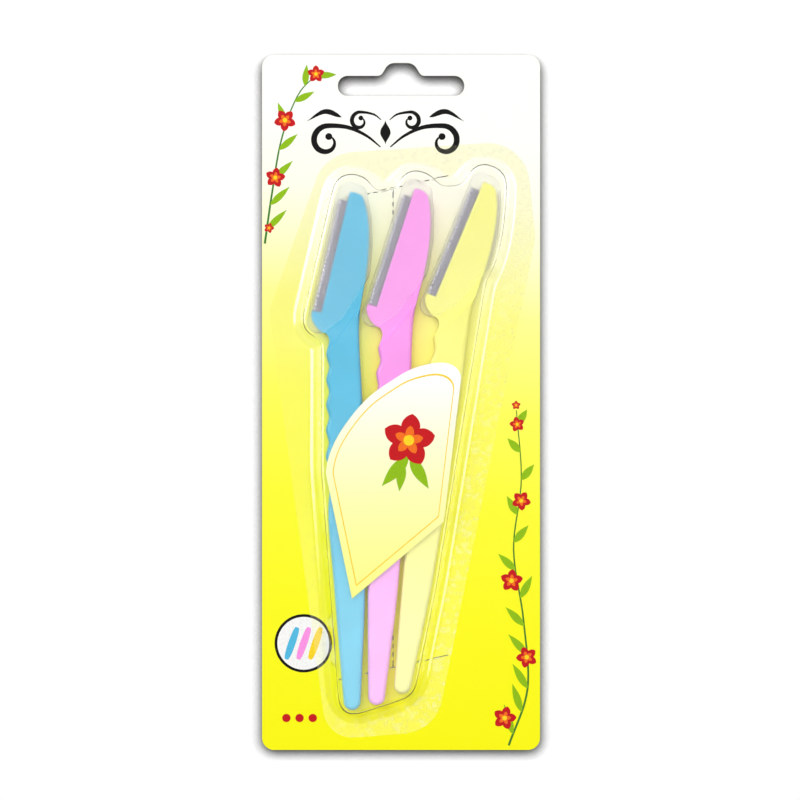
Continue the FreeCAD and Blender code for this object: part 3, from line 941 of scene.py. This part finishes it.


# Matt white board: evenly bright, with painted shade: a soft dark line close under the card's edges,
# darkened into its colour and glow by ambient occlusion
def whiteBoardPaintedShade():
    material, tree = newMaterial("whiteBoardPaintedShade")
    side = addNode(tree, "ShaderNodeNewGeometry")
    rays = addNode(tree, "ShaderNodeLightPath")
    lighting = addNode(tree, "ShaderNodeMath", {"operation": "MAXIMUM"},
                       {0: rays.outputs["Is Diffuse Ray"], 1: rays.outputs["Is Shadow Ray"]})
    absent = addNode(tree, "ShaderNodeMath", {"operation": "MAXIMUM"},
                     {0: side.outputs["Backfacing"], 1: lighting.outputs[0]})
    seen = addNode(tree, "ShaderNodeMath", {"operation": "ADD"},
                   {0: rays.outputs["Is Camera Ray"], 1: rays.outputs["Is Glossy Ray"]})
    seenToo = addNode(tree, "ShaderNodeMath", {"operation": "ADD", "use_clamp": True},
                      {0: seen.outputs[0], 1: rays.outputs["Is Transmission Ray"]})
    upward = addNode(tree, "ShaderNodeCombineXYZ", dict(enumerate(stage["shadeFrom"])))
    # painted shade: occlusion by the card nearby darkens the table, on top of any shadow the lamps cast
    occlusionForPaintedShade = addNode(tree, "ShaderNodeAmbientOcclusion", {
        "samples": stage["shadeSamples"], "Distance": stage["shadeReach"]}, {"Normal": upward.outputs[0]})
    shade = addNode(tree, "ShaderNodeMath", {"operation": "POWER", 1: stage["shadeDepth"]},
                    {0: occlusionForPaintedShade.outputs["AO"]})
    # painted shade: the colour runs to black, and the glow fades, where the occlusion is deep
    paintedShadeTone = addNode(tree, "ShaderNodeMix", {
        "data_type": "RGBA", 6: linear(stage["shade"]), 7: linear(stage["colour"])}, {0: shade.outputs[0]})
    shaded = addNode(tree, "ShaderNodeMath", {"operation": "MULTIPLY"},
                     {0: seenToo.outputs[0], 1: shade.outputs[0]})
    lift = addNode(tree, "ShaderNodeMath", {"operation": "MULTIPLY", 1: stage["lift"]},
                   {0: shaded.outputs[0]})
    matt = addNode(tree, "ShaderNodeBsdfPrincipled", {
        "Roughness": stage["rough"], "Specular IOR Level": 0.0, "Emission Color": (1.0, 1.0, 1.0, 1.0)},
        {"Base Color": paintedShadeTone.outputs[2], "Emission Strength": lift.outputs[0]})
    nothing = addNode(tree, "ShaderNodeBsdfTransparent")
    shown = addNode(tree, "ShaderNodeMixShader", links={
        0: absent.outputs[0], 1: matt.outputs[0], 2: nothing.outputs[0]})
    addNode(tree, "ShaderNodeOutputMaterial", links={0: shown.outputs[0]})
    return material


def whiteTable():
    centre = (cadBox[0] + cadBox[1]) / 2
    half = stage["size"] / 2
    bm = bmesh.new()
    corners = ((-half, -half), (half, -half), (half, half), (-half, half))
    bm.faces.new([bm.verts.new((x + centre.x, stage["gap"], z + centre.z)) for x, z in corners])
    mesh = bpy.data.meshes.new("table")
    bm.to_mesh(mesh)
    bm.free()
    table = bpy.data.objects.new("table", mesh)
    bpy.context.scene.collection.objects.link(table)
    dress(table, whiteBoardPaintedShade())


whiteTable()
print("table laid")


# Studio light: a big soft lamp above the left shoulder, a fill on the right, one square in front that isn't
# mirrored and so reaches between the razors without a glare, and one behind for the pack's back

lamps = {                    # places from the middle of the pack, in metres
    "key": {"place": (-0.75, -1.15, 1.0), "size": 1.2, "watts": 13.2, "mirrored": True},
    "fill": {"place": (0.95, -1.15, 0.75), "size": 1.0, "watts": 6.2, "mirrored": True},
    "front": {"place": (0.0, -1.6, 0.15), "size": 1.0, "watts": 11.3, "mirrored": False},
    "rear": {"place": (0.5, 1.0, 0.5), "size": 0.9, "watts": 16.0, "mirrored": True},
}
room = {
    "ambient": 0.24,
    "far": 1.0,              # what reflections see behind the pack
    "near": 0.4,             # and in front of it
    "turn": (-0.3, 0.5),     # where the near side gives way to the far side
    "panels": (              # pale boards that only reflections show, by their direction's X and Z shares
        {
            "strength": 1.0,
            "X": {"middle": 0.0, "half": 0.16, "soft": 0.2},
            "Z": {"middle": -0.18, "half": 0.04, "soft": 0.24},
        },
        {
            "strength": 7.0,
            "X": {"middle": -0.72, "half": 0.12, "soft": 0.15},
            "Z": {"middle": 0.25, "half": 0.3, "soft": 0.1},
        },
        {
            "strength": 6.0,
            "X": {"middle": 0.77, "half": 0.06, "soft": 0.1},
            "Z": {"middle": 0.1, "half": 0.34, "soft": 0.1},
        },
    ),
}


def hangLamps():
    centre = (cadBox[0] + cadBox[1]) / 2
    for name, lamp in lamps.items():
        light = bpy.data.lights.new(name, "AREA")
        light.size = lamp["size"]
        light.energy = lamp["watts"]
        holder = bpy.data.objects.new(name, light)
        holder.location = centre + Vector(lamp["place"])
        holder.rotation_euler = Vector(lamp["place"]).to_track_quat("Z", "Y").to_euler()
        holder.visible_camera = False
        holder.visible_glossy = lamp["mirrored"]
        holder.visible_transmission = lamp["mirrored"]
        bpy.context.scene.collection.objects.link(holder)


def whiteRoom():
    world = bpy.data.worlds.new("studio")
    world.use_nodes = True
    tree = world.node_tree
    tree.nodes.clear()
    rays = addNode(tree, "ShaderNodeLightPath")
    way = addNode(tree, "ShaderNodeTexCoord")
    spot = addNode(tree, "ShaderNodeSeparateXYZ", links={0: way.outputs["Generated"]})
    soFar = {}
    for panel in room["panels"]:
        spans = []
        for axis, most in (("X", panel["strength"]), ("Z", 1.0)):
            span = panel[axis]
            offset = addNode(tree, "ShaderNodeMath", {"operation": "SUBTRACT", 1: span["middle"]},
                             {0: spot.outputs[axis]})
            distance = addNode(tree, "ShaderNodeMath", {"operation": "ABSOLUTE"}, {0: offset.outputs[0]})
            spans.append(addNode(tree, "ShaderNodeMapRange", {
                "interpolation_type": "SMOOTHSTEP", "From Min": span["half"] + span["soft"],
                "From Max": span["half"], "To Max": most}, {"Value": distance.outputs[0]}))
        front = addNode(tree, "ShaderNodeMath", {"operation": "MULTIPLY_ADD", 2: room["near"]},
                        {0: spans[0].outputs["Result"], 1: spans[1].outputs["Result"], **soFar})
        soFar = {2: front.outputs[0]}
    near, far = room["turn"]
    depth = addNode(tree, "ShaderNodeMapRange", {"From Min": near, "From Max": far, "To Max": room["far"]},
                    {"Value": spot.outputs["Y"], "To Min": front.outputs[0]})
    mirrored = addNode(tree, "ShaderNodeMath", {"operation": "ADD", "use_clamp": True},
                       {0: rays.outputs["Is Glossy Ray"], 1: rays.outputs["Is Transmission Ray"]})
    glint = addNode(tree, "ShaderNodeMath", {"operation": "MULTIPLY"},
                    {0: mirrored.outputs[0], 1: depth.outputs["Result"]})
    lit = addNode(tree, "ShaderNodeMath", {"operation": "MAXIMUM", 1: room["ambient"]}, {0: glint.outputs[0]})
    strength = addNode(tree, "ShaderNodeMath", {"operation": "MAXIMUM"},
                       {0: lit.outputs[0], 1: rays.outputs["Is Camera Ray"]})
    sky = addNode(tree, "ShaderNodeBackground", {"Color": (1.0, 1.0, 1.0, 1.0)},
                  {"Strength": strength.outputs[0]})
    addNode(tree, "ShaderNodeOutputWorld", links={0: sky.outputs[0]})
    bpy.context.scene.world = world


# Camera square to the card, as far off as a 100 mm lens needs to take in the frame's width

camera = {"centre": (-0.3 * mm, -97.0 * mm), "frameWidth": 230.2 * mm, "lens": 100.0, "sensor": 36.0}


def squareCamera():
    data = bpy.data.cameras.new("camera")
    data.lens = camera["lens"]
    data.sensor_width = camera["sensor"]
    holder = bpy.data.objects.new("camera", data)
    x, z = camera["centre"]
    away = camera["frameWidth"] * camera["lens"] / camera["sensor"]
    holder.location = (x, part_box("backing_card")[0].y - away, z)
    holder.rotation_euler = (math.pi / 2, 0, 0)
    bpy.context.scene.collection.objects.link(holder)
    bpy.context.scene.camera = holder
    bpy.context.scene.view_settings.view_transform = "Standard"


hangLamps()
whiteRoom()
squareCamera()
print("stage set")
